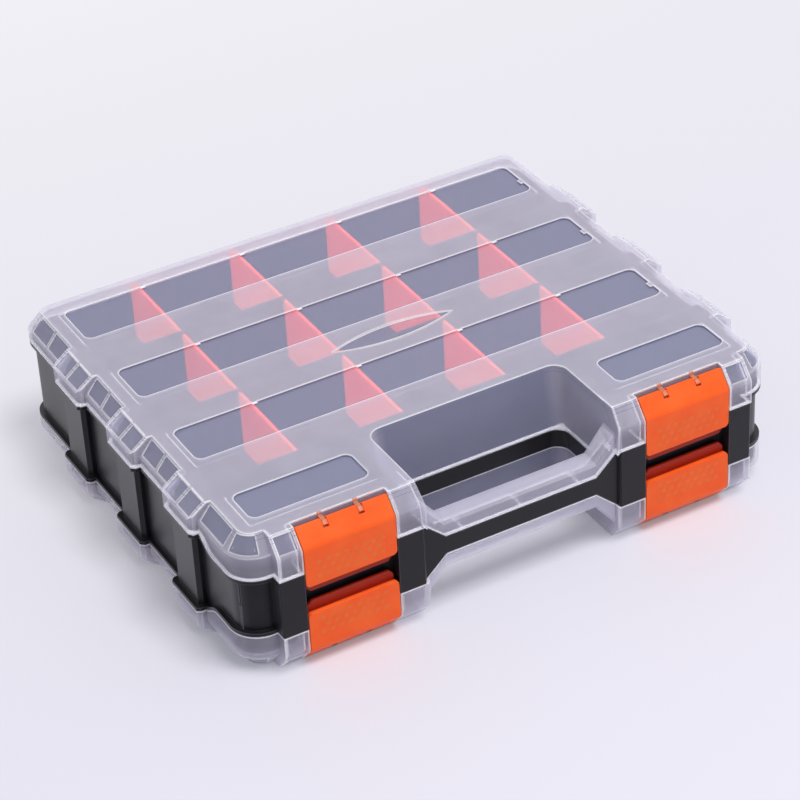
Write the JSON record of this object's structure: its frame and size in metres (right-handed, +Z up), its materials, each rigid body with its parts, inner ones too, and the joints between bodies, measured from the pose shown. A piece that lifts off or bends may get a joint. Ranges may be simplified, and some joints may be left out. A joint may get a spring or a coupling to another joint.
{
  "type": "double-sided parts box",
  "caption": "Flat parts box with a black tray open on both faces, a clear hinged lid on each side, snap latches at the front, loose dividers and a grip hole.",
  "frame": {"origin": "centre of the box's bounding box, at the height of the face that it lies on", "axes": "+Z up out of the upper lid, +X right along the front edge seen from the front, +Y from the grip and latches to the hinges"},
  "size_m": [0.32, 0.267, 0.081],
  "materials": {
    "tray": "satin moulded polypropylene",
    "lid": "milky clear polypropylene with polished panes",
    "latch": "satin moulded polypropylene",
    "divider": "moulded polypropylene"
  },
  "bodies": {
    "tray": {"body": "tray", "divider_top_1_1": "divider", "divider_top_1_2": "divider", "divider_top_1_3": "divider", "divider_top_1_4": "divider", "divider_top_2_1": "divider", "divider_top_2_2": "divider", "divider_top_2_3": "divider", "divider_top_2_4": "divider", "divider_top_3_1": "divider", "divider_top_3_2": "divider", "divider_top_3_3": "divider", "divider_top_3_4": "divider", "divider_bottom_1_1": "divider", "divider_bottom_1_2": "divider", "divider_bottom_1_3": "divider", "divider_bottom_1_4": "divider", "divider_bottom_2_1": "divider", "divider_bottom_2_2": "divider", "divider_bottom_2_3": "divider", "divider_bottom_2_4": "divider", "divider_bottom_3_1": "divider", "divider_bottom_3_2": "divider", "divider_bottom_3_3": "divider", "divider_bottom_3_4": "divider"},
    "lid_top": {"lid_top": "lid"},
    "lid_bottom": {"lid_bottom": "lid"},
    "latch_top_left": {"latch_top_left": "latch"},
    "latch_top_right": {"latch_top_right": "latch"},
    "latch_bottom_left": {"latch_bottom_left": "latch"},
    "latch_bottom_right": {"latch_bottom_right": "latch"}
  },
  "joints": [
    {"name": "lid_top_hinge", "type": "hinge", "parent": "tray", "child": "lid_top", "pos_m": [0, 0.13079, 0.0615], "axis": [-1, 0, 0], "range_deg": [0, 170]},
    {"name": "lid_bottom_hinge", "type": "hinge", "parent": "tray", "child": "lid_bottom", "pos_m": [0, 0.13079, 0.0195], "axis": [1, 0, 0], "range_deg": [0, 170]},
    {"name": "latch_top_left_pivot", "type": "hinge", "parent": "lid_top", "child": "latch_top_left", "pos_m": [-0.0979, -0.1257, 0.07668], "axis": [-1, 0, 0], "range_deg": [0, 110]},
    {"name": "latch_top_right_pivot", "type": "hinge", "parent": "lid_top", "child": "latch_top_right", "pos_m": [0.0979, -0.1257, 0.07668], "axis": [-1, 0, 0], "range_deg": [0, 110]},
    {"name": "latch_bottom_left_pivot", "type": "hinge", "parent": "lid_bottom", "child": "latch_bottom_left", "pos_m": [-0.0979, -0.1257, 0.00432], "axis": [1, 0, 0], "range_deg": [0, 110]},
    {"name": "latch_bottom_right_pivot", "type": "hinge", "parent": "lid_bottom", "child": "latch_bottom_right", "pos_m": [0.0979, -0.1257, 0.00432], "axis": [1, 0, 0], "range_deg": [0, 110]}
  ]
}
